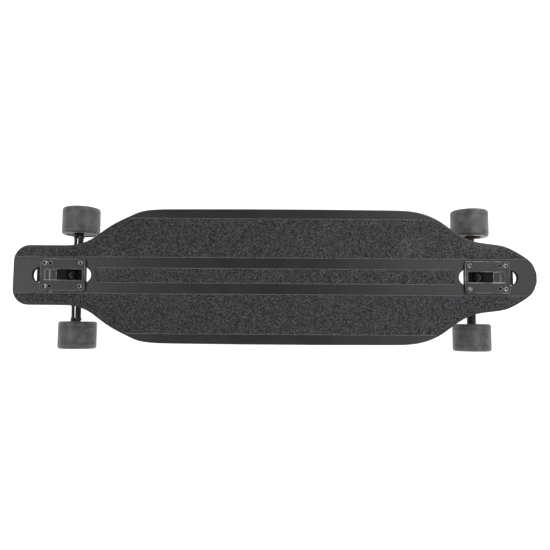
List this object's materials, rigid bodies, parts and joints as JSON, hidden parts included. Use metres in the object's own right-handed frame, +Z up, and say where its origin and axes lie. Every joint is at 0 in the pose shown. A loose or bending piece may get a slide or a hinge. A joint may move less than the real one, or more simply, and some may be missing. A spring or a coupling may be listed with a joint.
{
  "type": "electric longboard skateboard",
  "caption": "Black drop-through longboard with square tail and round nose, steering trucks, hub-motor rear wheels and a slim battery box under the deck.",
  "frame": {"origin": "on the ground under the middle of the board", "axes": "+X towards the rounded nose, +Y to the rider's left when facing the nose, +Z up"},
  "size_m": [0.94, 0.267, 0.1088],
  "materials": {
    "deck": "black lacquered maple plies, satin",
    "grip": "fine black grit",
    "cast_black": "satin black powder coat on cast alloy",
    "pivot_cup": "matt urethane",
    "bushing": "matt urethane",
    "black_steel": "black oxide",
    "bright_steel": "bright zinc",
    "axle_steel": "plain machined steel",
    "urethane": "smoky translucent urethane",
    "core": "glass-filled nylon",
    "bearing": "ground steel with black seals",
    "motor_can": "black anodised",
    "magnet": "nickel plated",
    "stator": "lacquered laminations and copper",
    "box": "fine textured black",
    "gasket": "closed-cell foam",
    "tray": "moulded black",
    "cell": "shrink wrap",
    "nickel": "nickel strip and lead",
    "circuit_board": "solder mask",
    "heat_sink": "plain extruded",
    "port": "moulded black",
    "cap": "soft moulded",
    "switch": "moulded black",
    "button": "satin anodised",
    "light": "frosted white lens",
    "cable": "matt black jacket",
    "clip": "nylon",
    "gland": "nylon"
  },
  "bodies": {
    "board": {"deck": "deck", "grip_tape_left": "grip", "grip_tape_right": "grip", "grip_tape_centre": "grip", "box_shell": "box", "box_gasket": "gasket", "box_screws": "black_steel", "battery_tray": "tray", "battery_cells": "cell", "battery_wiring": "nickel", "balance_board": "circuit_board", "heat_sink": "heat_sink", "controller_board": "circuit_board", "charge_port": "port", "power_switch": "switch", "status_light": "light", "cable_glands": "gland", "front_baseplate": "cast_black", "front_pivot_cup": "pivot_cup", "front_kingpin": "black_steel", "front_kingpin_hardware": "black_steel", "front_boardside_bushing": "bushing", "front_roadside_bushing": "bushing", "front_truck_bolts": "bright_steel", "rear_baseplate": "cast_black", "rear_pivot_cup": "pivot_cup", "rear_kingpin": "black_steel", "rear_kingpin_hardware": "black_steel", "rear_boardside_bushing": "bushing", "rear_roadside_bushing": "bushing", "rear_truck_bolts": "bright_steel"},
    "front_steer": {"front_hanger": "cast_black", "front_axle": "axle_steel", "front_axle_hardware": "axle_steel"},
    "rear_steer": {"rear_hanger": "cast_black", "rear_axle": "axle_steel", "rear_axle_hardware": "axle_steel", "rear_left_stator": "stator", "rear_right_stator": "stator", "left_motor_cable": "cable", "right_motor_cable": "cable", "cable_clips": "clip"},
    "power_button": {"power_button": "button"},
    "charge_cap": {"charge_cap": "cap"},
    "front_left_wheel": {"front_left_tyre": "urethane", "front_left_core": "core", "front_left_bearings": "bearing"},
    "rear_left_wheel": {"rear_left_tyre": "urethane", "rear_left_rotor_can": "motor_can", "rear_left_magnets": "magnet", "rear_left_hub_cap": "motor_can", "rear_left_bearings": "bearing"},
    "front_right_wheel": {"front_right_tyre": "urethane", "front_right_core": "core", "front_right_bearings": "bearing"},
    "rear_right_wheel": {"rear_right_tyre": "urethane", "rear_right_rotor_can": "motor_can", "rear_right_magnets": "magnet", "rear_right_hub_cap": "motor_can", "rear_right_bearings": "bearing"}
  },
  "joints": [
    {"name": "front_steering", "type": "hinge", "parent": "board", "child": "front_steer", "pos_m": [0.384, 0, 0.075], "axis": [0.7071, 0, 0.7071], "range_deg": [-15, 15], "stiffness_Nm_per_rad": 90, "deforming": ["front_boardside_bushing", "front_roadside_bushing"]},
    {"name": "front_left_wheel_spin", "type": "hinge", "parent": "front_steer", "child": "front_left_wheel", "pos_m": [0.372, 0.108, 0.035], "axis": [0, 1, 0], "continuous": true},
    {"name": "front_right_wheel_spin", "type": "hinge", "parent": "front_steer", "child": "front_right_wheel", "pos_m": [0.372, -0.108, 0.035], "axis": [0, 1, 0], "continuous": true},
    {"name": "rear_steering", "type": "hinge", "parent": "board", "child": "rear_steer", "pos_m": [-0.384, 0, 0.075], "axis": [-0.7071, 0, 0.7071], "range_deg": [-15, 15], "stiffness_Nm_per_rad": 90, "deforming": ["rear_boardside_bushing", "rear_roadside_bushing", "left_motor_cable", "right_motor_cable"]},
    {"name": "rear_left_wheel_spin", "type": "hinge", "parent": "rear_steer", "child": "rear_left_wheel", "pos_m": [-0.372, 0.108, 0.035], "axis": [0, 1, 0], "continuous": true},
    {"name": "rear_right_wheel_spin", "type": "hinge", "parent": "rear_steer", "child": "rear_right_wheel", "pos_m": [-0.372, -0.108, 0.035], "axis": [0, 1, 0], "continuous": true},
    {"name": "power_button_press", "type": "slide", "parent": "board", "child": "power_button", "axis": [0, 1, 0], "range_m": [0, 0.0012], "stiffness_N_per_m": 2500},
    {"name": "charge_cap_swing", "type": "hinge", "parent": "board", "child": "charge_cap", "pos_m": [-0.1832, -0.0888, 0.0715], "axis": [0, 0, -1], "range_deg": [0, 110]}
  ]
}
